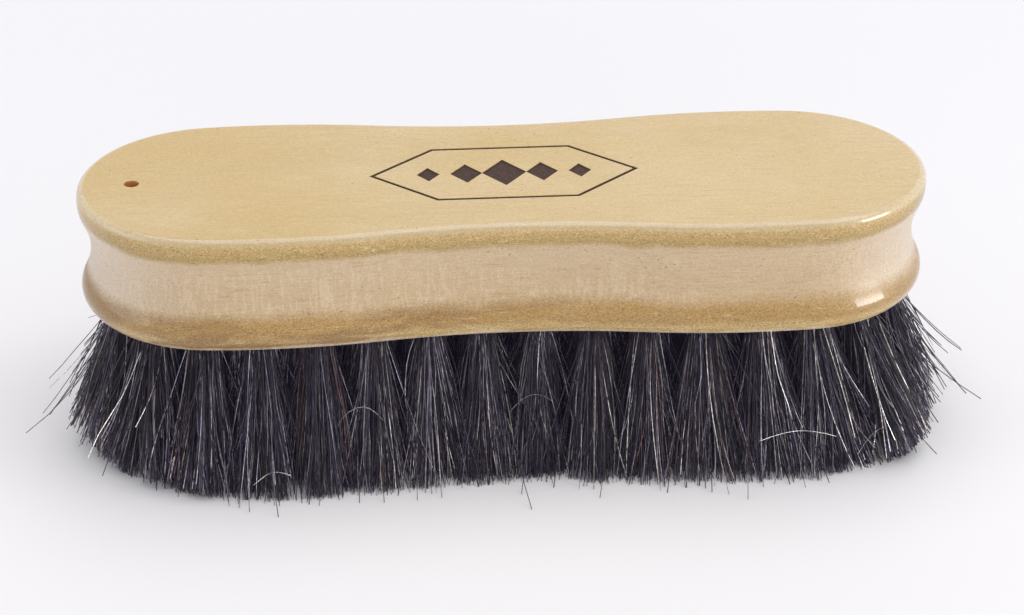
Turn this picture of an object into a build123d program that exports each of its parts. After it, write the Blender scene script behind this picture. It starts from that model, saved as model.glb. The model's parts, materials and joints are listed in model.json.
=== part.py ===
from build123d import *
import math
import os

# A shoe shine brush: a waisted wooden back with a moulded edge, drilled underneath
# for tufts of horsehair, each folded over a wire staple and driven home.
# Millimetres. X runs along the brush and Z is up. The origin lies under the middle
# of the back, on the surface that the bristles stand on.

# Wooden back, seen from above
back_length = 170.0
lobe_width = 55.2
waist_depth = 3.6
lobe_station = 48.3
side_arc_share = 0.4757

# Wooden back, seen from the end: two beads with a cove between them
back_thickness = 25.0
lower_bead_radius = 4.0
upper_bead_radius = 7.0
upper_bead_drop = 2.6
cove_depth = 2.3
top_edge_radius = 1.6

# Peg hole in the top face, near the left-hand end
peg_hole_diameter = 3.0
peg_hole_depth = 8.0
peg_hole_from_end = 11.0

# Mark burnt into the top face: a six-sided frame round a row of diamonds
mark_length = 54.0
mark_width = 24.0
mark_nose = 13.0
mark_line = 0.8
mark_depth = 0.3
diamond_length = 9.0
diamond_width = 12.0
diamond_pitch = 7.6
diamond_step_share = 0.72
diamonds_each_side = 2

# Rows of tufts, set in from the outline of the back
outer_row_inset = 8.0
inner_row_share = 0.6875
outer_tufts_in_quarter = 8
inner_tufts_in_quarter = 6

# One tuft: its drilled hole, the folded root that fills it, and the free hair
tuft_hole_diameter = 6.0
tuft_hole_depth = 12.0
hair_clearance = 0.1
neck_length = 1.2
neck_overlap = 0.4
bristle_length = 30.0
trim_depth = 0.5
strands_in_rows = (3, 2, 3)
root_step_share = 0.26
root_size_share = 0.2

# Where the hair ends lie: how far they flare past the outline, and how they share out
# the room between the rows
side_flare = 4.8
end_flare = 5.0
outer_row_inward_share = 0.3
spine_share = 0.92
strand_fill_share = 0.8
half_way_share = 0.5
half_way_spread_share = 0.55

# Wire staple that holds a tuft
staple_wire_diameter = 0.7
staple_width = 2.4
staple_grip = 3.0
staple_bite = 3.5
staple_clearance = 0.05

# Heights
underside = bristle_length
top_face = underside + back_thickness
hole_roof = underside + tuft_hole_depth

# Outline of the back: an end arc, a side arc and a hollow waist arc, each tangent to
# the next. Angles are in degrees, from the X axis.
half_length = back_length / 2
lobe_half = lobe_width / 2
waist_half = lobe_half - waist_depth
lobe_to_end = half_length - lobe_station
waist_angle = math.degrees(2 * math.atan2(waist_depth, lobe_station))
side_and_waist_radius = lobe_station / math.sin(math.radians(waist_angle))
side_radius = side_arc_share * side_and_waist_radius
waist_radius = side_and_waist_radius - side_radius
waist_centre = waist_half + waist_radius
side_centre = lobe_half - side_radius
end_radius = (side_radius**2 - lobe_to_end**2 - side_centre**2) / (2 * (side_radius - lobe_to_end))
end_centre = half_length - end_radius
end_angle = math.degrees(math.atan2(-side_centre, end_centre - lobe_station))

# Edge moulding: the cove touches both beads, and the top edge rolls off the upper one
upper_bead_height = back_thickness - upper_bead_drop
bead_spacing = upper_bead_height - lower_bead_radius
cove_skew = 2 * cove_depth * (upper_bead_radius - lower_bead_radius) / bead_spacing
cove_height = lower_bead_radius + (bead_spacing - cove_skew) / 2
cove_radius = ((cove_height - lower_bead_radius)**2 / cove_depth + cove_depth) / 2 - lower_bead_radius
cove_centre = cove_radius - cove_depth
rim_band = upper_bead_radius + cove_depth

# Rows of tufts: the inner row shares out the room from the outer row to the centre line
# at the waist. Then the edge that the hair of the two rows shares.
row_spacing = inner_row_share * (waist_half - outer_row_inset)
inner_row_inset = outer_row_inset + row_spacing
outer_row_inward = outer_row_inward_share * row_spacing
inner_row_outward = row_spacing - outer_row_inward
inner_row_inward = spine_share * (waist_half - inner_row_inset)
centre_cell_half_width = lobe_half - inner_row_inset - inner_row_inward


def quarter_arcs(inset):
    """The outline moved inwards, from the right-hand end to the waist behind.

    Each arc is its centre, radius, first angle and sweep. The waist arc runs clockwise.
    """
    side_sweep = math.degrees(math.pi / 2) + waist_angle - end_angle
    waist_start = waist_angle - math.degrees(math.pi / 2)
    end = ((end_centre, 0), end_radius - inset, 0, end_angle)
    side = ((lobe_station, side_centre), side_radius - inset, end_angle, side_sweep)
    waist = ((0, waist_centre), waist_radius + inset, waist_start, -waist_angle)
    return end, side, waist


def outline_face(inset):
    """The shape of the back seen from above, moved inwards."""
    quarter = Curve() + [CenterArc(*arc) for arc in quarter_arcs(inset)]
    half = quarter + mirror(quarter, about=Plane.YZ)
    return make_face(half + mirror(half, about=Plane.XZ))


def edge_section():
    """The moulded edge in section: X is outwards from the outline, Y is up."""
    to_lower = math.degrees(math.atan2(cove_height - lower_bead_radius, cove_centre + lower_bead_radius))
    to_upper = math.degrees(math.atan2(upper_bead_height - cove_height, cove_centre + upper_bead_radius))
    roll_radius = upper_bead_radius - top_edge_radius
    to_edge = math.degrees(math.asin((upper_bead_drop - top_edge_radius) / roll_radius))
    edge_centre = roll_radius * math.cos(math.radians(to_edge)) - upper_bead_radius
    quarter_turn = math.degrees(math.pi / 2)
    half_turn = 2 * quarter_turn
    lower = CenterArc(
        (-lower_bead_radius, lower_bead_radius), lower_bead_radius, -quarter_turn, quarter_turn + to_lower
    )
    cove = CenterArc((cove_centre, cove_height), cove_radius, half_turn + to_lower, -to_lower - to_upper)
    upper = CenterArc(
        (-upper_bead_radius, upper_bead_height), upper_bead_radius, -to_upper, to_upper + to_edge
    )
    edge = CenterArc(
        (edge_centre, back_thickness - top_edge_radius), top_edge_radius, to_edge, quarter_turn - to_edge
    )
    inner_side = Polyline(
        (edge_centre, back_thickness), (-rim_band, back_thickness), (-rim_band, 0), (-lower_bead_radius, 0)
    )
    return make_face(lower + cove + upper + edge + inner_side)


def edge_length(section, arc):
    """The moulded edge along one arc of the outline, turned about the arc's centre."""
    (centre_x, centre_y), radius, first, sweep = arc
    way = math.copysign(1, sweep)
    radial = Vector(math.cos(math.radians(first)), math.sin(math.radians(first)))
    outward = radial * way
    start = Vector(centre_x, centre_y, underside) + radial * radius
    across = Plane(origin=start, x_dir=outward, z_dir=outward.cross(Vector(0, 0, 1)))
    turning = Axis((centre_x, centre_y, underside), (0, 0, way))
    return revolve(across * section, axis=turning, revolution_arc=abs(sweep))


def all_round(quarter):
    """A quarter's pieces and their mirror images, anticlockwise from the right-hand end."""
    half = quarter + [mirror(piece, about=Plane.YZ) for piece in reversed(quarter)]
    return half + [mirror(piece, about=Plane.XZ) for piece in reversed(half)]


def row_place(inset, share):
    """A place on a quarter row, as a share of its length, and the way outwards there."""
    arcs = quarter_arcs(inset)
    runs = [radius * math.radians(abs(sweep)) for centre, radius, first, sweep in arcs]
    distance = share * sum(runs)
    for arc, run in zip(arcs, runs):
        if distance <= run:
            break
        distance -= run
    (centre_x, centre_y), radius, first, sweep = arc
    angle = math.radians(first + sweep * min(distance / run, 1))
    radial = Vector(math.cos(angle), math.sin(angle))
    return Vector(centre_x, centre_y) + radial * radius, radial * math.copysign(1, sweep)


def staple(growth):
    """A wire staple about the Z axis, legs up, its wire thicker and longer by growth."""
    leg = staple_width / 2
    bend = hole_roof - staple_grip + leg
    tip = hole_roof + staple_bite + growth
    left = Line((-leg, 0, tip), (-leg, 0, bend))
    crown = ThreePointArc((-leg, 0, bend), (0, 0, bend - leg), (leg, 0, bend))
    right = Line((leg, 0, bend), (leg, 0, tip))
    wire_section = Plane(origin=(-leg, 0, tip), z_dir=(0, 0, -1)) * Circle(
        staple_wire_diameter / 2 + growth
    )
    return sweep(wire_section, path=left + crown + right)


def drilling():
    """What is taken out of the back for one tuft: its hole and the staple's leg holes."""
    top_down = (Align.CENTER, Align.CENTER, Align.MAX)
    hole = Pos(0, 0, hole_roof) * Cylinder(
        tuft_hole_diameter / 2, tuft_hole_depth + neck_length, align=top_down
    )
    return hole + staple(staple_clearance)


def tuft_root():
    """The folded root of a tuft, filling its hole round the staple."""
    bottom_up = (Align.CENTER, Align.CENTER, Align.MIN)
    bundle = Pos(0, 0, underside - neck_length) * Cylinder(
        tuft_hole_diameter / 2 - hair_clearance,
        neck_length + tuft_hole_depth - hair_clearance,
        align=bottom_up,
    )
    return bundle - staple(staple_clearance)


def strand(root_corners, tip_corners):
    """A four-sided lock of hair that opens out from its root to its tip."""
    root_level = underside - neck_length + neck_overlap
    middle_level = underside * half_way_share
    sections = []
    for level, spread in ((root_level, 0), (middle_level, half_way_spread_share), (-trim_depth, 1)):
        corners = [root + (tip - root) * spread for root, tip in zip(root_corners, tip_corners)]
        sections.append(Wire.make_polygon([(corner.X, corner.Y, level) for corner in corners]))
    return Solid.make_loft(sections, ruled=True)


def tuft(place, outward, tip_point):
    """One tuft: strands fused to the root, cut flat where they stand.

    tip_point gives a place among the hair ends from shares along and out of the cell.
    """
    along = Vector(-outward.Y, outward.X)
    step = root_step_share * tuft_hole_diameter
    half_size = root_size_share * tuft_hole_diameter / 2
    margin = (1 - strand_fill_share) / 2
    rows = len(strands_in_rows)
    square = ((-1, -1), (1, -1), (1, 1), (-1, 1))
    strands = []
    for row, columns in enumerate(strands_in_rows):
        for column in range(columns):
            root_along = step * (column - (columns - 1) / 2)
            root_out = step * (row - (rows - 1) / 2)
            root = [
                place + along * (root_along + half_size * a) + outward * (root_out + half_size * o)
                for a, o in square
            ]
            tip = [
                tip_point(
                    (column + (1 + a) / 2 - margin * a) / columns,
                    (row + (1 + o) / 2 - margin * o) / rows,
                )
                for a, o in square
            ]
            strands.append(strand(root, tip))
    whole = Pos(place.X, place.Y) * tuft_root() + strands
    return split(whole, bisect_by=Plane.XY, keep=Keep.TOP)


def outer_tuft(number):
    """A tuft of the outer row, whose hair flares past the outline."""
    place, outward = row_place(outer_row_inset, (number + 1 / 2) / outer_tufts_in_quarter)

    def tip_point(along_share, out_share):
        share = (number + along_share) / outer_tufts_in_quarter
        foot, way = row_place(outer_row_inset, share)
        flare = side_flare + (end_flare - side_flare) * way.X**2
        reach = outer_row_inset + flare
        return foot + way * (out_share * (reach + outer_row_inward) - outer_row_inward)

    return tuft(place, outward, tip_point)


def inner_tuft(number):
    """A tuft of the inner row, whose hair fills in behind the outer row."""
    place, outward = row_place(inner_row_inset, (number + 1 / 2) / inner_tufts_in_quarter)

    def tip_point(along_share, out_share):
        share = (number + along_share) / inner_tufts_in_quarter
        foot, way = row_place(inner_row_inset, share)
        return foot + way * (out_share * (inner_row_outward + inner_row_inward) - inner_row_inward)

    return tuft(place, outward, tip_point)


def centre_tuft():
    """The tuft on the centre line of the right-hand lobe."""
    place = Vector(lobe_station, 0)

    def tip_point(along_share, out_share):
        beside = row_spacing * (1 / 2 - along_share)
        across = centre_cell_half_width * (2 * out_share - 1)
        return place + Vector(beside, across)

    return tuft(place, Vector(0, 1), tip_point)


def tuft_places():
    """The middle of every tuft hole."""
    rows = (outer_row_inset, outer_tufts_in_quarter), (inner_row_inset, inner_tufts_in_quarter)
    quarter = [
        row_place(inset, (number + 1 / 2) / count)[0] for inset, count in rows for number in range(count)
    ]
    places = [Vector(lobe_station, 0), Vector(-lobe_station, 0)]
    for spot in quarter:
        places += [Vector(spot.X * x, spot.Y * y) for x in (1, -1) for y in (1, -1)]
    return places


def burnt_mark():
    """The frame and the row of diamonds, as deep as they are burnt."""
    half, across, nose = mark_length / 2, mark_width / 2, mark_length / 2 - mark_nose
    border = make_face(
        Polyline(
            (half, 0), (nose, across), (-nose, across), (-half, 0), (-nose, -across), (nose, -across),
            close=True,
        )
    )
    pattern = border - offset(border, amount=-mark_line, kind=Kind.INTERSECTION)
    for step in range(-diamonds_each_side, diamonds_each_side + 1):
        size_share = diamond_step_share ** abs(step)
        long_half = diamond_length * size_share / 2
        wide_half = diamond_width * size_share / 2
        diamond = make_face(
            Polyline((long_half, 0), (0, wide_half), (-long_half, 0), (0, -wide_half), close=True)
        )
        pattern += Pos(step * diamond_pitch, 0) * diamond
    return Pos(0, 0, top_face - mark_depth) * extrude(pattern, amount=2 * mark_depth)


def wooden_back():
    """The back, turned all round its outline, drilled and marked."""
    section = edge_section()
    rim = all_round([edge_length(section, arc) for arc in quarter_arcs(0)])
    core = Pos(0, 0, underside) * extrude(outline_face(rim_band), amount=back_thickness)
    block = core + rim
    tool = drilling()
    drillings = [Pos(spot.X, spot.Y) * tool for spot in tuft_places()]
    peg_hole = Pos(peg_hole_from_end - half_length, 0, top_face) * Cylinder(
        peg_hole_diameter / 2, 2 * peg_hole_depth
    )
    return block - [*drillings, peg_hole, burnt_mark()]


def tuft_staples():
    """All the staples, each a separate wire, one in every tuft hole."""
    wire_staple = staple(0)
    return Compound([Pos(spot.X, spot.Y) * wire_staple for spot in tuft_places()])


def build():
    """Every node of the brush by name."""
    right_centre = centre_tuft()
    groups = {
        "outer_tuft": all_round([outer_tuft(number) for number in range(outer_tufts_in_quarter)]),
        "inner_tuft": all_round([inner_tuft(number) for number in range(inner_tufts_in_quarter)]),
        "centre_tuft": [right_centre, mirror(right_centre, about=Plane.YZ)],
    }
    nodes = {"wooden_back": wooden_back(), "tuft_staples": tuft_staples()}
    for name, tufts in groups.items():
        for number, piece in enumerate(tufts, start=1):
            nodes[f"{name}_{number:02d}"] = piece
    return nodes


os.makedirs("parts", exist_ok=True)
nodes = build()
for name, piece in nodes.items():
    export_step(piece, f"parts/{name}.step")
strand_count = sum(strands_in_rows) * (len(nodes) - 2)
print(f"{len(nodes)} nodes, {strand_count} strands")
print(f"end arc {end_radius:.1f} mm, waist arc {waist_radius:.1f} mm, cove {cove_radius:.1f} mm")
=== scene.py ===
# %% [markdown]
# # A shoe shine brush in lacquered wood and horsehair
#
# The brush is a waisted block of pale wood, lacquered, with 58 tufts of dark horsehair
# set in its underside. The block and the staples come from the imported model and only
# need their finish. The hair is made here, hair by hair, because a tuft is judged by
# its single hairs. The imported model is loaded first, and everything is measured from it.

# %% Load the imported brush
import json
import math
import bpy
import numpy as np
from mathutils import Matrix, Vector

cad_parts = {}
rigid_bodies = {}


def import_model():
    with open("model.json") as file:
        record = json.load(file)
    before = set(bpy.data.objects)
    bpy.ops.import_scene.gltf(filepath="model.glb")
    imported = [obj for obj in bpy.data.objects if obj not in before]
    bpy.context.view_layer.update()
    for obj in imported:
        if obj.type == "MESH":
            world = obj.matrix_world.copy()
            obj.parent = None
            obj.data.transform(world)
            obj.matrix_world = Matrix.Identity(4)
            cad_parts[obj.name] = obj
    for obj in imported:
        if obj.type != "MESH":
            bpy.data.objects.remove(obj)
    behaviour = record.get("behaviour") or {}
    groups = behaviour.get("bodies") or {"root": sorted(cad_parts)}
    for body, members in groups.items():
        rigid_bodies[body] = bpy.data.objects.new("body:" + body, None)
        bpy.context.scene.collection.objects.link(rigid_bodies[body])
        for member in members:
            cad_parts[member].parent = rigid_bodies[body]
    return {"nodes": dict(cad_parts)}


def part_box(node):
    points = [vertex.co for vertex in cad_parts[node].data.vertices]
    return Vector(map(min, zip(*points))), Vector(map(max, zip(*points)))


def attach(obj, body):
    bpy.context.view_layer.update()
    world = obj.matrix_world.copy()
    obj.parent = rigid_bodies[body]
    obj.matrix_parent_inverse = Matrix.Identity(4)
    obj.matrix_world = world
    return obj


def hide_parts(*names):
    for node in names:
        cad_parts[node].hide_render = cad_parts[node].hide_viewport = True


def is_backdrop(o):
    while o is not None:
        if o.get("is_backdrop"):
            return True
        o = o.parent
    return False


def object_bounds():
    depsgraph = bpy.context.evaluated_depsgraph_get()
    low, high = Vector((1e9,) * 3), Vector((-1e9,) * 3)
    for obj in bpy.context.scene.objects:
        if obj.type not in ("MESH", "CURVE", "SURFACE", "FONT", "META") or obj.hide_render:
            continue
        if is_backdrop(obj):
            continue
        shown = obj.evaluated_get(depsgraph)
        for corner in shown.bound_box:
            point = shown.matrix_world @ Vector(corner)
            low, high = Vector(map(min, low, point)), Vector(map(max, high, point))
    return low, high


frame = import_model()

MM = 0.001
nodes = frame["nodes"]
for name in ("Cube", "Light", "Camera"):
    if name in bpy.data.objects:
        bpy.data.objects.remove(bpy.data.objects[name])
cad_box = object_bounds()
print(len(nodes), "packed pieces")

# %% [markdown]
# ## The camera
#
# The camera comes first, because every later choice is judged through it. It looks down
# at the long side from a little left of the middle, with a long lens from about 60 cm,
# so the far edge is hardly smaller than the near one. It is placed by the two angles
# and the distance from a point inside the brush, which are easier to adjust than a
# position and a rotation.

# %% Camera
view_angle = math.radians(-4.66)
view_height = math.radians(27.77)
view_roll = math.radians(0.19)
view_distance = 621.8 * MM
view_target = (1.66 * MM, 0, 24.4 * MM)
sensor_width = 36.0
lens = 106.95

camera_data = bpy.data.cameras.new("camera")
camera_data.sensor_width = sensor_width
camera_data.lens = lens
camera_data.clip_start = 10 * MM
camera = bpy.data.objects.new("camera", camera_data)
bpy.context.scene.collection.objects.link(camera)
bpy.context.scene.camera = camera
back = (
    math.sin(view_angle) * math.cos(view_height),
    -math.cos(view_angle) * math.cos(view_height),
    math.sin(view_height),
)
camera.location = [aim + view_distance * way for aim, way in zip(view_target, back)]
camera.rotation_euler = (math.pi / 2 - view_height, 0, view_angle)
camera.rotation_euler.rotate_axis("Z", view_roll)
print("camera at", [round(value, 3) for value in camera.location])

# %% [markdown]
# ## Shader maths in plain Python
#
# A procedural finish is mostly arithmetic on numbers that change over the surface. One
# small class wraps a node's output, so that the arithmetic reads as Python does, and
# one method adds any other node. Each finish below is then a few lines.

# %% Socket wrapper
class Value:
    """A number or a colour that changes over the surface, with Python's own operators."""

    def __init__(self, finish, socket):
        self.finish = finish
        self.socket = socket

    def math(self, operation, *others):
        """One step of arithmetic, with this number as the first of its sockets."""
        values = dict(enumerate((self, *others)))
        return self.finish.add("ShaderNodeMath", {"operation": operation}, values)

    def __add__(self, other):
        return self.math("ADD", other)

    def __mul__(self, other):
        return self.math("MULTIPLY", other)

    def __sub__(self, other):
        return self.math("SUBTRACT", other)

    def __rsub__(self, other):
        return self * -1 + other

    def __pow__(self, other):
        return self.math("POWER", other)

    __radd__ = __add__
    __rmul__ = __mul__

    def smooth(self, low, high):
        """0 below low, 1 above high, with a soft step between."""
        settings = {"interpolation_type": "SMOOTHSTEP"}
        return self.finish.add("ShaderNodeMapRange", settings, {0: self, 1: low, 2: high})


# %% Material under construction
class Finish:
    """A material under construction: its nodes, and the shader that ends them."""

    def __init__(self, name, **constants):
        self.data = bpy.data.materials.new(name)
        self.data.use_nodes = True
        self.tree = self.data.node_tree
        self.shader = self.tree.nodes["Principled BSDF"]
        for socket, value in constants.items():
            self.shader.inputs[socket.replace("_", " ")].default_value = value

    def add(self, kind, settings=None, values=None, output=0):
        """Adds one node: its settings first, then a value or a link for each socket."""
        node = self.tree.nodes.new(kind)
        for setting, value in (settings or {}).items():
            setattr(node, setting, value)
        for place, value in (values or {}).items():
            if isinstance(value, Value):
                self.tree.links.new(value.socket, node.inputs[place])
            else:
                node.inputs[place].default_value = value
        return Value(self, node.outputs[output])

    def place(self):
        """The point on the piece, in metres, in the brush's own axes."""
        return self.add("ShaderNodeTexCoord", output="Object")

    def stretched(self, scale):
        """The same point with each axis scaled, so a pattern can run along one of them."""
        return self.add("ShaderNodeMapping", {}, {"Vector": self.place(), "Scale": scale})

    def noise(self, scale, detail=2.0, rough=0.5, distort=0.0):
        """Soft noise with a size for each axis, as many lumps in a metre as scale says."""
        values = {
            "Vector": self.stretched(scale), "Scale": 1.0, "Detail": detail,
            "Roughness": rough, "Distortion": distort,
        }
        return self.add("ShaderNodeTexNoise", {}, values)

    def cells(self, scale):
        """The distance to the nearest of many scattered points, as many in a metre."""
        values = {"Vector": self.stretched(scale), "Scale": 1.0}
        return self.add("ShaderNodeTexVoronoi", {"feature": "F1"}, values)

    def axis(self, letter):
        """One coordinate of the point, in metres."""
        return self.add("ShaderNodeSeparateXYZ", {}, {0: self.place()}, output=letter)

    def mix(self, amount, low, high):
        """A colour between two others."""
        settings = {"data_type": "RGBA"}
        values = {0: amount, 6: low, 7: high}
        return self.add("ShaderNodeMix", settings, values, output=2)

    def brighten(self, colour, value):
        """A colour made darker or lighter by a number round 1."""
        return self.add("ShaderNodeHueSaturation", {}, {"Color": colour, "Value": value})

    def bump(self, height, distance, strength):
        """A surface that looks as high as height says, without moving any corner."""
        values = {"Height": height, "Distance": distance, "Strength": strength}
        return self.add("ShaderNodeBump", {}, values)

    def give(self, **inputs):
        """Links values to the shader's sockets."""
        for socket, value in inputs.items():
            self.tree.links.new(value.socket, self.shader.inputs[socket.replace("_", " ")])

    def dress(self, piece):
        """Puts the finish on a piece in place of what it had."""
        piece.data.materials.clear()
        piece.data.materials.append(self.data)


# %% Colours as they look on a screen
def tone(red, green, blue):
    """A colour of 0 to 255 a channel, as the linear colour that Blender wants."""
    linear = [((value / 255 + 0.055) / 1.055) ** 2.4 for value in (red, green, blue)]
    return (*linear, 1.0)


print("half grey on a screen is", round(tone(128, 128, 128)[0], 3), "of white in light")

# %% [markdown]
# ## The wooden back
#
# The block is already turned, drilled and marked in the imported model, so it keeps its
# shape and gets a finish. The real wood is pale and close-grained, with faint fibres
# along the brush, small dark pores and a clear gloss lacquer. The beads at the edge are
# burnished browner by the cutter than the cove between them, which is milled paler and
# shows fine upright cutter marks. All of it follows the point's own coordinates, so
# nothing slides. The edge's bands are given as soft steps: a height where each begins
# and a height where it is whole, measured up from the underside.

# %% Where things are on the wood
wood_low, wood_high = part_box("wooden_back")
wood_thick = wood_high.z - wood_low.z
wood_long = wood_high.x - wood_low.x
wood_wide = wood_high.y - wood_low.y

underside_end = (0.05 * MM, 0.4 * MM)
foot_end = (0.8 * MM, 2.2 * MM)
low_bead_browns = (2.2 * MM, 4.6 * MM)
cove_starts = (5.4 * MM, 9.4 * MM)
lacquer_thins = (5.6 * MM, 7.2 * MM)
cove_pales = (8 * MM, 19 * MM)
beads_change = (10 * MM, 14 * MM)
lacquer_returns = (19 * MM, 21 * MM)
cove_ends = (19.4 * MM, 21.2 * MM)
high_bead_pales = (20.5 * MM, 23.5 * MM)
top_starts = (wood_thick - 2.2 * MM, wood_thick - 0.5 * MM)
rim_starts = (wood_thick - 1.6 * MM, wood_thick - 0.8 * MM)
rim_ends = (wood_thick - 0.06 * MM, wood_thick)
cut_ends = (wood_thick - 0.28 * MM, wood_thick - 0.04 * MM)
band_wander = 3.4 * MM
round_ends = (60 * MM, 86 * MM)
mark_half_long = (28 * MM, 29 * MM)
mark_half_wide = (13 * MM, 14 * MM)
peg_hole_from_end = 11 * MM
peg_hole_wall = (1.6 * MM, 2.0 * MM)
print("wood from", round(wood_low.z / MM, 1), "to", round(wood_high.z / MM, 1), "mm")

# %% [markdown]
# The wood's colours are kept by name, so that each function below says which wood it
# means. Most are the colours of the bare wood under plain light: the lamps and the
# lacquer add the rest. A few paint light instead: a sheen in the paler straw, a
# reflection at the cove's ends, and highlights on the rim and the foot.

# %% The wood's colours
wood_tones = {
    "straw": tone(193, 162, 93),
    # Paler straw, partly real tone and partly a painted sheen towards the right.
    "pale straw and painted sheen": tone(202, 175, 119),
    "brown band": tone(192, 160, 106),
    "line on top": tone(176, 144, 92),
    "cove": tone(189, 164, 129),
    "cove higher up": tone(202, 178, 145),
    # Painted reflection at the cove's two round ends.
    "cove ends' painted reflection": tone(222, 208, 192),
    "cutter streak": tone(224, 206, 180),
    "low bead": tone(193, 163, 104),
    "low bead higher up": tone(160, 124, 60),
    "stain": tone(134, 98, 39),
    "high bead": tone(168, 138, 72),
    "high bead higher up": tone(181, 151, 92),
    # Painted highlight on the rounded rim, lighter for the two ends.
    "rim": tone(180, 160, 124),
    "rim's painted highlight at the ends": tone(208, 190, 154),
    # Painted highlight along the foot of the edge.
    "foot": tone(238, 216, 186),
    "underside": tone(232, 212, 178),
    "dark fibre": tone(172, 138, 88),
    "pale fibre": tone(222, 200, 156),
    "pore": tone(104, 72, 38),
    "char": tone(28, 15, 10),
    "thin char": tone(70, 42, 28),
    "peg hole": tone(206, 146, 78),
}
print(len(wood_tones), "colours of wood")

# %% [markdown]
# The edge of the block is coloured band by band from the foot to the rim. A noise
# moves the bands up and down a little, because a hand-held finish is never quite level.
# The beads are the brownest, with stains towards the left, and the cove carries the
# streaks of its cutter. The cove's paler ends are a painted reflection, and the pale
# foot and rim carry painted highlights.

# %% The wood's top and edge
def top_colour(wood, along, cloud, bands):
    """Straw yellow in soft clouds with browner bands along it, and a painted sheen that pales it towards the
    right.
    """
    # Painted sheen: the top grows paler towards the right, as if lit from that side, over soft clouds of
    # real tone.
    paler = (cloud + along * 2).smooth(0.3, 0.7)
    plain = wood.mix(paler, wood_tones["straw"], wood_tones["pale straw and painted sheen"])
    return wood.mix(bands.smooth(0.42, 0.75) * 0.3, plain, wood_tones["brown band"])


def cove_colour(wood, drift, at_ends, streaks):
    """Milled wood, paler higher up, with streaks of the cutter, and paler at the two ends as a painted
    reflection.
    """
    milled = wood.mix(drift.smooth(*cove_pales), wood_tones["cove"], wood_tones["cove higher up"])
    milled = wood.mix(streaks * 0.24, milled, wood_tones["cutter streak"])
    # Painted reflection: the cove is made paler towards both round ends, as if its lacquer mirrored the
    # white around it.
    return wood.mix(at_ends * 0.75, milled, wood_tones["cove ends' painted reflection"])


def bead_colour(wood, drift, along):
    """The two burnished beads, the low one stained in patches towards the left."""
    browner = drift.smooth(*low_bead_browns)
    low = wood.mix(browner, wood_tones["low bead"], wood_tones["low bead higher up"])
    patches = wood.noise((30, 30, 130), detail=3, rough=0.65)
    stained = (patches - along * 3).smooth(0.55, 0.66) * 0.85
    low = wood.mix(stained, low, wood_tones["stain"])
    paler = drift.smooth(*high_bead_pales)
    high = wood.mix(paler, wood_tones["high bead"], wood_tones["high bead higher up"])
    return wood.mix(drift.smooth(*beads_change), low, high)


def with_pale_edges(wood, colour, rise, at_ends):
    """The colour with the pale underside, and a painted highlight on the rounded rim of the top."""
    colour = wood.mix(1 - rise.smooth(*underside_end), colour, wood_tones["underside"])
    # Painted highlight: a pale, less yellow line on the rounded rim, lighter still at the two ends, where
    # the lamps give the rim no highlight.
    rim = rise.smooth(*rim_starts) * (1 - rise.smooth(*rim_ends))
    rim_highlight_colour = wood.mix(at_ends, wood_tones["rim"], wood_tones["rim's painted highlight at the ends"])
    return wood.mix(rim * 0.8, colour, rim_highlight_colour)


# %% [markdown]
# Over the bands lie the marks that all wood has: fibres and fine lines along the grain,
# a grit that is strongest on the beads, where end grain shows, and small dark pores in
# groups. The burnt mark and the raw peg hole are found by place and by height, because
# both are cut below the top.

# %% The wood's grain, mark and hole
def with_fibres(wood, colour, fibres, top, cloud):
    """The colour with dark and pale fibres everywhere, and fine lines on the top."""
    lines = wood.noise((45, 1500, 1500), detail=2)
    colour = wood.mix(fibres.smooth(0.5, 0.78) * 0.6, colour, wood_tones["dark fibre"])
    colour = wood.mix((1 - fibres.smooth(0.26, 0.42)) * 0.5, colour, wood_tones["pale fibre"])
    lined = top * lines.smooth(0.55, 0.7) * cloud.smooth(0.4, 0.6) * 0.4
    return wood.mix(lined, colour, wood_tones["line on top"])


def with_pores(wood, colour):
    """The colour with small dark pores, longer along the grain, in loose groups."""
    pores = wood.cells((420, 700, 700))
    groups = wood.noise((70, 90, 90), detail=1)
    speck = (1 - pores.smooth(0.06, 0.13)) * groups.smooth(0.54, 0.6)
    return wood.mix(speck * 0.8, colour, wood_tones["pore"])


def cut_places(along, across, rise):
    """Two masks of what is cut into the top: the burnt mark, and the peg hole."""
    sunk = 1 - rise.smooth(*cut_ends)
    beside_mark = across.math("ABSOLUTE").smooth(*mark_half_wide)
    beyond_mark = along.math("ABSOLUTE").smooth(*mark_half_long)
    burnt = sunk * (1 - beside_mark) * (1 - beyond_mark)
    from_hole = ((along + (wood_long / 2 - peg_hole_from_end)) ** 2 + across ** 2).math("SQRT")
    return burnt, (1 - from_hole.smooth(*peg_hole_wall)) * sunk


# %% [markdown]
# The finish puts these together. The lacquer is a coat over the wood: thin on the
# milled cove, patchy elsewhere and burnt away in the mark. A little bump lets fibres,
# grit and cutter marks catch the light.

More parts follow.
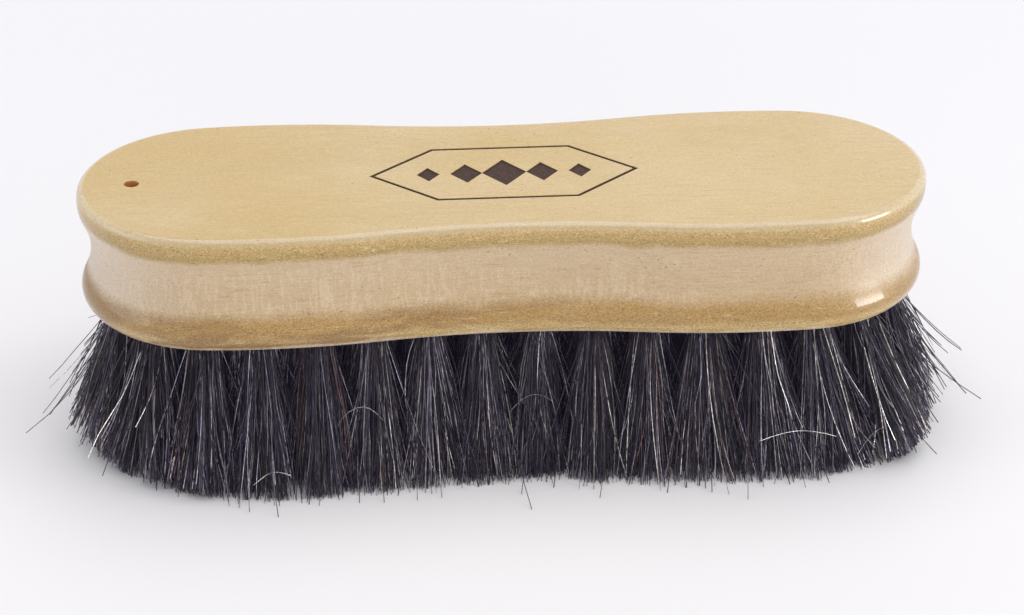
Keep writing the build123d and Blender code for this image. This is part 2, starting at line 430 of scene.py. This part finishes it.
# %% Lacquered wood
def lacquered_wood():
    wood = Finish("lacquered_wood", Coat_Roughness=0.08, Coat_IOR=1.55)
    fibres = wood.noise((160, 2600, 2600), detail=3, rough=0.7)
    bands = wood.noise((5, 60, 90), detail=4, rough=0.65, distort=1.0)
    cloud = wood.noise((22, 40, 40), detail=3, rough=0.6)
    grit = wood.noise((2500, 3700, 3700), detail=1, rough=0.7)
    cutter = wood.noise((1100, 1100, 130), detail=2, rough=0.6)
    patch = wood.noise((30, 30, 90), detail=3)
    wander = (wood.noise((55, 55, 160), detail=4, rough=0.7) - 0.5) * band_wander
    along, across, rise = wood.axis("X"), wood.axis("Y"), wood.axis("Z") - wood_low.z
    drift = rise + wander
    at_ends = along.math("ABSOLUTE").smooth(*round_ends)
    streaks = cutter.smooth(0.47, 0.6) * patch.smooth(0.38, 0.56)

    cove = drift.smooth(*cove_starts) * (1 - drift.smooth(*cove_ends))
    edge = wood.mix(cove, bead_colour(wood, drift, along), cove_colour(wood, drift, at_ends, streaks))
    # Painted highlight: a pale line along the foot of the edge, where the low bead turns under.
    edge = wood.mix(1 - drift.smooth(*foot_end), edge, wood_tones["foot"])
    top = rise.smooth(*top_starts)
    colour = wood.mix(top, edge, top_colour(wood, along, cloud, bands))
    colour = with_pale_edges(wood, colour, rise, at_ends)
    colour = with_fibres(wood, colour, fibres, top, cloud)
    grittiness = (1 - top) * (1 - cove) * 1.15 + 0.6
    colour = wood.brighten(colour, (grit - 0.5) * grittiness + (bands - 0.5) * 0.12 + 1)
    colour = with_pores(wood, colour)

    burnt, in_hole = cut_places(along, across, rise)
    char = wood.mix(grit.smooth(0.35, 0.65), wood_tones["char"], wood_tones["thin char"])
    colour = wood.mix(burnt, colour, char)
    colour = wood.mix(in_hole, colour, wood_tones["peg hole"])
    milled = rise.smooth(*lacquer_thins) * (1 - rise.smooth(*lacquer_returns))
    patchy = patch.smooth(0.3, 0.7) * 0.3 + 0.7
    surface = fibres * 0.3 + grit * 0.5 + cutter * cove * 0.3
    wood.give(
        Base_Color=colour,
        Roughness=burnt * 0.35 + 0.45,
        Coat_Weight=(1 - burnt) * (1 - milled * 0.95) * patchy,
        Normal=wood.bump(surface, 0.03 * MM, 0.6),
    )
    return wood


lacquered_wood().dress(nodes["wooden_back"])
print("the back is finished")

# %% [markdown]
# ## The staples
#
# One wire staple holds each tuft by its fold. They are deep in the holes, so they only
# need plain drawn steel: bright, with fine marks along the wire from the drawing die.

# %% Drawn steel
def drawn_steel():
    steel = Finish("staple_steel", Metallic=1.0)
    marks = steel.noise((4000, 4000, 300), detail=3)
    steel.give(
        Base_Color=steel.mix(marks, tone(150, 148, 142), tone(196, 194, 188)),
        Roughness=marks * 0.25 + 0.25,
        Normal=steel.bump(marks, 0.02 * MM, 0.4),
    )
    return steel


drawn_steel().dress(nodes["tuft_staples"])
print("the staples are finished")

# %% [markdown]
# ## Horsehair
#
# A hair could be a curve with a bevel, a particle or a plain mesh. A mesh is chosen,
# because it is what it looks like in every view and in an export. One straight hair is
# modelled by hand as a three-sided rod, and every other hair is that rod bent along its
# own path and tapered a little. A tuft is one piece that stands for its packed one.

# %% One straight hair
hair_sides = 3
hair_spans = 7


def straight_hair():
    """A rod one unit long on the Z axis, one unit in radius, as corner places and faces."""
    bpy.ops.object.select_all(action="DESELECT")
    bpy.ops.mesh.primitive_cylinder_add(
        vertices=hair_sides, radius=1, depth=1, end_fill_type="TRIFAN", location=(0, 0, 0.5)
    )
    rod = bpy.context.object
    bpy.ops.object.transform_apply(location=True, rotation=False, scale=False)
    bpy.ops.object.mode_set(mode="EDIT")
    for span in range(1, hair_spans):
        bpy.ops.mesh.select_all(action="SELECT")
        bpy.ops.mesh.bisect(plane_co=(0, 0, span / hair_spans), plane_no=(0, 0, 1))
    bpy.ops.mesh.select_all(action="SELECT")
    bpy.ops.mesh.quads_convert_to_tris()
    bpy.ops.object.mode_set(mode="OBJECT")
    places = np.array([corner.co for corner in rod.data.vertices])
    faces = np.array([face.vertices for face in rod.data.polygons])
    bpy.data.objects.remove(rod)
    return places, faces


hair_places, hair_faces = straight_hair()
print("one hair has", len(hair_faces), "faces")

# %% [markdown]
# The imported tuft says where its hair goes: the corners at the top show the hole, and
# the corners on the ground show the patch that the hair ends fill. The way from one to
# the other is outwards, and the tuft's neighbours stand to either side of that way.

# %% The outline of a set of points
def turn(first, middle, last):
    """Above zero where three flat points turn left."""
    across = (middle[0] - first[0]) * (last[1] - first[1])
    return across - (middle[1] - first[1]) * (last[0] - first[0])


def hull(points):
    """The outline of a set of flat points, anticlockwise."""
    ordered = sorted(map(tuple, points))

    def chain(run):
        kept = []
        for point in run:
            while len(kept) > 1 and turn(kept[-2], kept[-1], point) <= 0:
                kept.pop()
            kept.append(point)
        return kept[:-1]

    return np.array(chain(ordered) + chain(ordered[::-1]))


print("the outline of a unit square has", len(hull([(0, 0), (1, 0), (1, 1), (0, 1), (0.5, 0.5)])), "corners")

# %% Where a tuft grows
above_underside = 1 * MM
on_the_ground = 0.1 * MM
straight_down = 0.1 * MM


def corners_of(node):
    corners = np.empty(len(node.data.vertices) * 3)
    node.data.vertices.foreach_get("co", corners)
    return corners.reshape(-1, 3)


class TuftPlace:
    """Where a packed tuft stands: its hole, the patch of its hair ends and its two ways."""

    def __init__(self, node):
        corners = corners_of(node)
        sunk = corners[corners[:, 2] > wood_low.z + above_underside, :2]
        low, high = sunk.min(0), sunk.max(0)
        ends = corners[corners[:, 2] < on_the_ground, :2]
        self.hole = (low + high) / 2
        self.hole_radius = (high - low).min() / 2
        self.outline = hull(np.unique(ends.round(7), axis=0))
        self.middle = self.outline.mean(0)
        self.reach = np.linalg.norm(self.outline - self.middle, axis=1).mean()
        outward = self.middle - self.hole
        if np.linalg.norm(outward) < straight_down:
            outward = np.array([0.0, 1.0])
        self.outward = outward / np.linalg.norm(outward)
        self.along_row = np.array([-self.outward[1], self.outward[0]])
        self.out_reach = ((self.outline - self.hole) @ self.outward).max()

    def spread(self, count, rng):
        """Offsets from the middle of the patch, spread evenly inside it."""
        following = np.roll(self.outline, -1, axis=0)
        first, second = self.outline - self.middle, following - self.middle
        area = np.abs(first[:, 0] * second[:, 1] - first[:, 1] * second[:, 0])
        wedge = rng.choice(len(self.outline), size=count, p=area / area.sum())
        out = np.sqrt(rng.random(count))[:, None]
        beside = rng.random(count)[:, None]
        return out * (first[wedge] * (1 - beside) + second[wedge] * beside)


sample_place = TuftPlace(nodes["outer_tuft_01"])
print("hole", round(2 * sample_place.hole_radius / MM, 1), "mm wide,")
print("hair ends", round(sample_place.reach / MM, 1), "mm from their middle")

# %% [markdown]
# ## Roots and locks
#
# A hair end is picked inside the patch, and its root is the same place drawn in to the
# hole, so hairs rarely cross. Horsehair clings together in locks, so each end is then
# pulled towards the nearest of a few lock middles, some locks tighter than others.

# %% Roots and locks
root_level = wood_low.z + 1.5 * MM
root_scatter = 0.45 * MM
root_spread_share = 0.85
hole_fill_share = 0.97
locks_in_tuft = 16
lock_pull = (0.2, 0.85)


def hair_roots(place, offsets, rng):
    """Every hair's place in the hole, none in the wood."""
    drawn_in = root_spread_share * place.hole_radius / place.reach
    roots = offsets * drawn_in + rng.normal(0, root_scatter, offsets.shape)
    far = np.linalg.norm(roots, axis=1)
    roots *= np.minimum(1, hole_fill_share * place.hole_radius / np.maximum(far, 1e-9))[:, None]
    return roots + place.hole


def in_locks(place, offsets, rng):
    """The offsets drawn together into locks, and the number of each hair's lock."""
    locks = place.spread(locks_in_tuft, rng)
    lock = np.linalg.norm(offsets[:, None] - locks[None], axis=2).argmin(1)
    pull = rng.uniform(*lock_pull, locks_in_tuft)[lock][:, None]
    return offsets * (1 - pull) + locks[lock] * pull, lock


print(locks_in_tuft, "locks in a tuft")

# %% [markdown]
# ## Disorder
#
# A worn-in brush isn't tidy. One hair in five is thrown to one side, a few stray
# outwards past the others, and now and then one is wild and ends far from its tuft.
# The numbers are shares of all hairs, and lengths that the random draws spread by.

# %% Hair ends in disorder
wild_share = 0.007
wild_reach = (1.2, 1.8)
tame_reach = 1.05
side_scatter = 1.3 * MM
thrown_share = 0.2
thrown_factor = 3.4
outward_push = 0.5 * MM
outward_scatter = 0.45 * MM
stray_share = 0.07
stray_length = 2.2 * MM


def scattered_ends(place, offsets, rng):
    """Every hair's end seen from above, and which hairs are wild and which stray."""
    count = len(offsets)
    wild = rng.random(count) < wild_share
    reach = np.where(wild, rng.uniform(*wild_reach, count), tame_reach)
    ends = place.middle + offsets * reach[:, None]
    sideways = rng.normal(0, side_scatter, count)
    sideways = sideways * np.where(rng.random(count) < thrown_share, thrown_factor, 1)
    ends += place.along_row * sideways[:, None]
    ends += place.outward * rng.normal(outward_push, outward_scatter, count)[:, None]
    stray = rng.random(count) < stray_share
    ends += place.outward * (rng.exponential(stray_length, count) * stray)[:, None]
    return ends, wild, stray


print("about", round(stray_share * 100), "stray hairs in a hundred")

# %% [markdown]
# ## The two round ends
#
# At the round ends the hair fans out past the block. All hairs are trimmed to nearly
# one length, so one that leans far ends higher above the ground, and that rounds off
# the foot of the brush. The right half also leans to the right, up to the last tufts,
# and the left end is combed inwards the same way. No hair may pass a fixed distance,
# so that a wild one doesn't stretch the part.

# %% Hair at the two round ends
lobe_middle = (wood_long - wood_wide) / 2
end_zone = wood_wide / 4
flat_rim = 2.2 * MM
fan_share = 0.25
rise_right, rise_left = 2.7, 2.9
highest_rise = 11 * MM
combed = 2.3 * MM
lean = 5 * MM
lean_starts, lean_fades, lean_gone = 30 * MM, 75 * MM, 89 * MM
furthest = wood_long / 2 + 12 * MM


def fan_at_ends(ends):
    """How far each hair fans out, how far that lifts it, and 0 to 1 for how near an end it is."""
    round_middle = np.sign(ends[:, :1]) * lobe_middle * np.array([1.0, 0.0])
    spoke = ends - round_middle
    reach = np.linalg.norm(spoke, axis=1)
    at_end = np.clip((np.abs(ends[:, 0]) - lobe_middle) / end_zone, 0, 1)
    past = np.maximum(reach - wood_wide / 2 - flat_rim, 0) * at_end
    rise = np.where(ends[:, 0] > 0, rise_right, rise_left)
    return spoke * (past / reach * fan_share)[:, None], np.minimum(past * rise, highest_rise), at_end


def leaned(ends, at_end):
    """The hair ends leaned to the right, the middle of the brush left as it is."""
    along = ends[:, 0]
    leaning = np.clip(along / lean_starts - 1, 0, 1)
    leaning *= np.clip((lean_gone - along) / (lean_gone - lean_fades), 0, 1)
    moved = along + (combed * at_end * (along < 0) + lean * leaning)
    return np.column_stack([np.clip(moved, -furthest, furthest), ends[:, 1]])


print("no hair goes past", round(furthest / MM, 1), "mm from the middle")

# %% [markdown]
# ## Loose hairs
#
# A brush in use holds a few broken hairs that are caught across its front. They are
# short shallow arcs, laid just outside the tuft at some height between the ground and
# the wood.

# %% Loose hairs caught across a tuft
caught_share = 0.0007
caught_heights = (0.35, 0.9)
caught_shift = 5 * MM
caught_length = (7 * MM, 18 * MM)
caught_drop = (-2 * MM, 3 * MM)
caught_arch = (2 * MM, 8 * MM)
caught_clear = 0.8 * MM
caught_bulge = 0.6 * MM
caught_lowest = 0.5 * MM


def caught_hairs(place, count, rng):
    """Start, middle and end of loose arcs that lie across the front of the tuft."""
    down = rng.uniform(*caught_heights, count)[:, None]
    side = np.where(rng.random(count) < 0.5, -1, 1)[:, None]
    out = place.hole_radius + (place.out_reach - place.hole_radius) * down + caught_clear
    start = place.hole + place.outward * out
    start = start + place.along_row * rng.uniform(-caught_shift, caught_shift, count)[:, None]
    end = start + place.along_row * side * rng.uniform(*caught_length, count)[:, None]
    height = root_level * (1 - down[:, 0])
    drop = rng.uniform(*caught_drop, count)
    half = (start + end) / 2 + place.outward * caught_bulge
    return (
        np.column_stack([start, height]),
        np.column_stack([half, height + rng.uniform(*caught_arch, count)]),
        np.column_stack([end, np.maximum(height - drop, caught_lowest)]),
    )


print("about", round(caught_share * 10000), "caught hairs in ten thousand")

# %% [markdown]
# ## Bending the hairs
#
# A hair's path is a quadratic curve from its root, past a middle point, to its end. The
# middle point lies nearer the root than halfway, so that the hair hangs before it
# flares, and a random bow moves it. Most ends just reach the ground, one in ten stops
# short, and the ends of one lock are lifted alike.

# %% Paths of a tuft's hairs
short_share = 0.1
short_heights = (0.05, 0.5)
trim_scatter = 0.2 * MM
lift_of_hair = (0.6, 1.1)
lift_of_lock = (0.8, 1.15)
fan_of_lock = (-0.6, 2.6)
hang_share = 0.55
more_hang_at_ends = 0.12
bow = 1.4 * MM
wild_bow = 2.2 * MM


def end_heights(lift, lock, rng):
    """How high above the ground every hair ends."""
    count = len(lift)
    lifted = rng.uniform(*lift_of_hair, count) * rng.uniform(*lift_of_lock, locks_in_tuft)[lock]
    ground = np.abs(rng.normal(0, trim_scatter, count)) + lift * lifted
    short = rng.random(count) < short_share
    return np.where(short, wood_low.z * rng.uniform(*short_heights, count), ground)


def hair_paths(place, count, rng):
    """Root, middle and end of every hair, which are caught or stray, and how near an end."""
    offsets = place.spread(count, rng)
    roots = hair_roots(place, offsets, rng)
    offsets, lock = in_locks(place, offsets, rng)
    ends, wild, stray = scattered_ends(place, offsets, rng)
    fan, lift, at_end = fan_at_ends(ends)
    ends += fan * rng.uniform(*fan_of_lock, locks_in_tuft)[lock][:, None]
    ends = leaned(ends, at_end)
    ground = end_heights(lift, lock, rng)
    bowed = rng.normal(0, 1, (count, 2)) * np.where(wild, wild_bow, bow)[:, None]
    hang = (hang_share + more_hang_at_ends * at_end)[:, None]
    halfway = roots * hang + ends * (1 - hang) + bowed
    root = np.column_stack([roots, np.full(count, root_level)])
    half = np.column_stack([halfway, (root_level + ground) / 2])
    end = np.column_stack([ends, ground])
    caught = rng.random(count) < caught_share
    root[caught], half[caught], end[caught] = caught_hairs(place, caught.sum(), rng)
    return root, half, end, caught, stray, at_end


print("one hair in", round(1 / short_share), "stops short")

# %% [markdown]
# The rod's rings are set along the path, each square to it, and a slow sideways wave is
# added that grows towards the hair's end, because no horsehair is a perfect arc.

# %% The rod along its path
wave_turns = (0.6, 1.6)
wave_scatter = 0.3 * MM
taper_share = 0.15


def bend(root, half, end, radii, rng):
    """The rod's corners set along every path, one row of corners a hair."""
    count = len(root)
    along = hair_places[:, 2]
    shares = along[None, :, None]
    start, middle, last = root[:, None, :], half[:, None, :], end[:, None, :]
    line = start * (1 - shares) ** 2 + middle * 2 * shares * (1 - shares) + last * shares ** 2
    turns = shares * rng.uniform(*wave_turns, (count, 1, 1)) + rng.random((count, 1, 1))
    sway = rng.normal(0, wave_scatter, (count, 1, 3)) * np.array([1.0, 1.0, 0.0])
    line += np.sin(turns * 2 * math.pi) * sway * shares
    heading = (middle - start) * 2 * (1 - shares) + (last - middle) * 2 * shares
    heading /= np.linalg.norm(heading, axis=2, keepdims=True)
    side = np.cross(heading, np.array([0.0, 1.0, 0.0]))
    side /= np.linalg.norm(side, axis=2, keepdims=True)
    other = np.cross(heading, side)
    thick = radii[:, None, None] * (1 - taper_share * along)[None, :, None]
    return line + (side * hair_places[None, :, 0:1] + other * hair_places[None, :, 1:2]) * thick


print("a hair tapers by", round(taper_share * 100), "per cent")

# %% [markdown]
# ## The hair's colours
#
# Nearly all hairs are black, and one hair in five is a black one painted grey, as if it
# caught the light; a few are brown, grey or white, as on a real tail. Each gets a
# strength of its own, and painted light along it comes and goes from ring to ring, as it
# does on real hair that turns and crosses. The hair at the round ends is darker, with
# painted glints at its tips. The inner rows stand in shadow, so their colour is painted
# lighter, or the gaps between tufts would be flat black. A colour is stored for each
# corner, and a small map with a cell for each hair keeps the colours apart wherever
# the finish is baked.

# %% Colours of single hairs
hair_kinds = {
    "black": (0.575, (40, 37, 50)),
    "brown black": (0.16, (58, 49, 51)),
    "black in the light": (0.20, (123, 118, 129)),
    "brown": (0.015, (92, 64, 59)),
    "grey": (0.034, (180, 172, 166)),
    "white": (0.016, (240, 236, 228)),
}
kind_chances = [chance for chance, colour in hair_kinds.values()]
kind_tones = np.array([tone(*colour) for chance, colour in hair_kinds.values()])
first_pale_kind = list(hair_kinds).index("grey")
dark_strength = (0.2, 2.05)
pale_strength = (0.4, 1.4)
inner_strength = 3.0
dimmed_at_ends = 0.3
ring_strength = (0.35, 1.85)
tip_glow = 0.7
tip_rings = 2


def ring_light(count, at_end, rng):
    """How much light each corner of each hair holds."""
    rings = rng.uniform(*ring_strength, (count, hair_spans + 1))
    # Painted glints: the last rings of hairs near the round ends are brightened.
    rings[:, -tip_rings:] *= (1 + at_end * rng.exponential(tip_glow, count))[:, None]
    return rings[:, np.rint(hair_places[:, 2] * hair_spans).astype(int)]


def hair_shades(caught, at_end, row_strength, rng):
    """The colour of each corner of each hair. Caught hairs are always pale ones."""
    count = len(caught)
    kinds = rng.choice(len(hair_kinds), size=count, p=kind_chances)
    kinds[caught] = rng.integers(first_pale_kind, len(hair_kinds), caught.sum())
    dark = rng.uniform(*dark_strength, count) * (1 - dimmed_at_ends * at_end) * row_strength
    strength = np.where(kinds < first_pale_kind, dark, rng.uniform(*pale_strength, count))
    shade = kind_tones[kinds]
    shade[:, :3] *= strength[:, None]
    return shade[:, None, :] * ring_light(count, at_end, rng)[:, :, None]


print(len(hair_kinds), "kinds of hair")

# %% A map with a cell for each hair
def bake_map(mesh, count):
    """A flat map with a small cell for each hair, so that every hair keeps its colour."""
    cell_share, cell_margin = 0.6, 0.15
    cap_stretch, cap_shift = 1.2, 0.1
    on_axis = 0.01
    x, y, height = hair_places[hair_faces].transpose(2, 0, 1)
    centred = np.hypot(x, y) < on_axis
    angle = np.where(centred, np.nan, np.arctan2(y, x) / (2 * math.pi) % 1)
    angle += np.nanmax(angle, axis=1, keepdims=True) - angle > 0.5
    angle = np.where(centred, np.nanmean(angle, axis=1, keepdims=True), angle)
    height = np.where(centred, height * cap_stretch - cap_shift, height)
    flat = np.stack([angle, height], axis=2) * cell_share + cell_margin
    cells = math.ceil(math.sqrt(count))
    numbers = np.arange(count)
    corner = np.stack([numbers % cells, numbers // cells], axis=1)[:, None, None, :]
    layer = mesh.uv_layers.new(name="OFBake")
    layer.data.foreach_set("uv", ((flat[None] + corner) / cells).ravel())


# %% [markdown]
# ## The hair's finish
#
# Horsehair is smooth and a little oily, so it has a low roughness. The colour comes
# from the corners, and a fine noise paints glints into it, lighter and darker in short
# dashes. A very dark glow stands for the light that wanders between thousands of
# hairs, so that the deepest gaps aren't pure black.

# %% Horsehair finish
def horsehair():
    hair = Finish(
        "horsehair", Roughness=0.3, Specular_IOR_Level=0.35,
        Emission_Color=tone(12, 10, 16), Emission_Strength=1.0,
    )
    stored = hair.add("ShaderNodeAttribute", {"attribute_name": "hair_colour"}, {}, output="Color")
    glint = hair.noise((3000, 3000, 350), detail=1)
    # Painted glints: the noise brightens and darkens the stored colour in short dashes.
    hair.give(Base_Color=hair.brighten(stored, glint.smooth(0.4, 0.66) * 0.8 + 0.75))
    return hair


hair_finish = horsehair()
print("the hair's finish is ready")

# %% [markdown]
# ## Growing the tufts
#
# Each tuft has its own seed, so it always grows the same way and no two are alike.
# Stray hairs and those at the round ends are a little thicker, because they are seen
# singly against the white. The finished tuft rides on the brush's one body and is named
# after the packed tuft it stands for, which is hidden.

# %% Grow all tufts
hairs_in_tuft = {"outer": 720, "inner": 500, "centre": 500}
row_strengths = {"outer": 1, "inner": inner_strength, "centre": 1}
hair_radius = (0.055, 0.1)
caught_radius = 0.055 * MM
thicker_when_seen = 0.4
first_seed = 100


def grow_tuft(name, count, row_strength, seed):
    """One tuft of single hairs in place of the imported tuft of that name."""
    rng = np.random.default_rng(seed)
    root, half, end, caught, stray, at_end = hair_paths(TuftPlace(nodes[name]), count, rng)
    radii = rng.uniform(*hair_radius, count) * (1 + thicker_when_seen * np.maximum(at_end, stray)) * MM
    radii[caught] = caught_radius
    corners = bend(root, half, end, radii, rng).reshape(-1, 3)
    steps = np.arange(count)[:, None, None] * len(hair_places)
    faces = (hair_faces[None] + steps).reshape(-1, 3)
    mesh = bpy.data.meshes.new(name + "_hair")
    mesh.from_pydata(corners.tolist(), [], faces.tolist())
    mesh.shade_smooth()
    bake_map(mesh, count)
    colours = mesh.color_attributes.new("hair_colour", "FLOAT_COLOR", "POINT")
    colours.data.foreach_set("color", hair_shades(caught, at_end, row_strength, rng).ravel())
    piece = bpy.data.objects.new(name + "_hair", mesh)
    bpy.context.scene.collection.objects.link(piece)
    return piece


tuft_names = sorted(name for name in nodes if "_tuft_" in name)
for number, name in enumerate(tuft_names):
    row = name.split("_")[0]
    tuft = grow_tuft(name, hairs_in_tuft[row], row_strengths[row], first_seed + number)
    hair_finish.dress(tuft)
    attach(tuft, "root")
    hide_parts(name)
print(len(tuft_names), "tufts")

# %% [markdown]
# ## The studio
#
# The brush stands on a wide white floor that runs off to a white background. A large
# soft box overhead gives nearly all the light. Small lamps at the right brighten that
# end of the wood, and one of them is seen only in the lacquer, as the small white
# glints on its beads. A lamp at the left and long weak fills at the front and back keep
# the edge and the hair from going dark, and the fills don't show in the lacquer. The
# world gives a dim light, but looks almost white to the camera and in reflections.

# %% Floor
floor_size = 6
floor_colour = (0.825, 0.815, 0.83, 1)


def lay_floor():
    bpy.ops.object.select_all(action="DESELECT")
    bpy.ops.mesh.primitive_plane_add(size=floor_size, location=(0, 0, 0))
    floor = bpy.context.object
    floor.name = "floor"
    paper = Finish("paper", Base_Color=floor_colour, Roughness=0.9, Specular_IOR_Level=0.1)
    paper.dress(floor)
    floor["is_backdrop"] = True


lay_floor()
print("floor", floor_size, "m wide")

# %% World
world_colour = (0.95, 0.95, 1.0, 1)
world_strength = 0.42
backdrop_colour = (0.94, 0.92, 0.95, 1)


def white_world():
    """A dim world that the camera and mirrors see as a white backdrop."""
    world = bpy.data.worlds.new("studio")
    bpy.context.scene.world = world
    world.use_nodes = True
    tree = world.node_tree
    light = tree.nodes["Background"]
    light.inputs["Color"].default_value = world_colour
    light.inputs["Strength"].default_value = world_strength
    seen = tree.nodes.new("ShaderNodeBackground")
    seen.inputs["Color"].default_value = backdrop_colour
    seen.inputs["Strength"].default_value = 1.0
    path = tree.nodes.new("ShaderNodeLightPath")
    blend = tree.nodes.new("ShaderNodeMixShader")
    seen_or_mirrored = tree.nodes.new("ShaderNodeMath")
    seen_or_mirrored.operation = "MAXIMUM"
    tree.links.new(path.outputs["Is Camera Ray"], seen_or_mirrored.inputs[0])
    tree.links.new(path.outputs["Is Glossy Ray"], seen_or_mirrored.inputs[1])
    tree.links.new(seen_or_mirrored.outputs[0], blend.inputs[0])
    tree.links.new(light.outputs[0], blend.inputs[1])
    tree.links.new(seen.outputs[0], blend.inputs[2])
    tree.links.new(blend.outputs[0], tree.nodes["World Output"].inputs["Surface"])


white_world()
print("world strength", world_strength)

# %% Lamps
block_middle = 0.03
fill_height = 0.36


def lamp(name, size, power, location, aim=(0, 0, block_middle)):
    """A rectangle of light that faces its aim."""
    data = bpy.data.lights.new(name, "AREA")
    data.shape = "RECTANGLE"
    data.size, data.size_y = size
    data.energy = power
    light = bpy.data.objects.new(name, data)
    bpy.context.scene.collection.objects.link(light)
    light.location = location
    way = np.array(aim) - np.array(location)
    flat = math.hypot(way[0], way[1])
    light.rotation_euler = (math.atan2(flat, -way[2]), 0, math.atan2(way[1], way[0]) - math.pi / 2)
    return light


lamp("overhead", (2.6, 2.3), 36.2, (0.2, 0.1, 2.2), aim=(0, 0, 0))
lamp("right_low", (0.5, 0.24), 3.3, (1.0, -0.45, 0.11)).visible_glossy = False
lamp("right_glint", (0.5, 0.45), 7.0, (1.0, -0.45, 0.2)).visible_diffuse = False
lamp("right_high", (0.8, 0.5), 1.5, (0.6, -0.3, 0.85))
lamp("left", (0.9, 0.7), 2.0, (-1.1, -0.2, 0.45))
for name, power, side in (("front_fill", 8.1, -1), ("back_fill", 8.2, 1)):
    fill = lamp(name, (1.6, 0.6), power, (0.15 * side, 1.9 * side, fill_height), aim=(0, 0, 0.02))
    fill.visible_glossy = False
bpy.context.scene.view_settings.view_transform = "Standard"
print(len(bpy.data.lights), "lamps")

# %% [markdown]
# ## Sizes and the end
#
# The imported brush's box and the dressed brush's box are both printed at the end.
# The made pieces have to stay close to the imported brush's box.

# %% Print both boxes
dressed_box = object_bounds()
for label, (low, high) in (("packed", cad_box), ("dressed", dressed_box)):
    print(label, [round(side / MM, 1) for side in (*low, *high)])
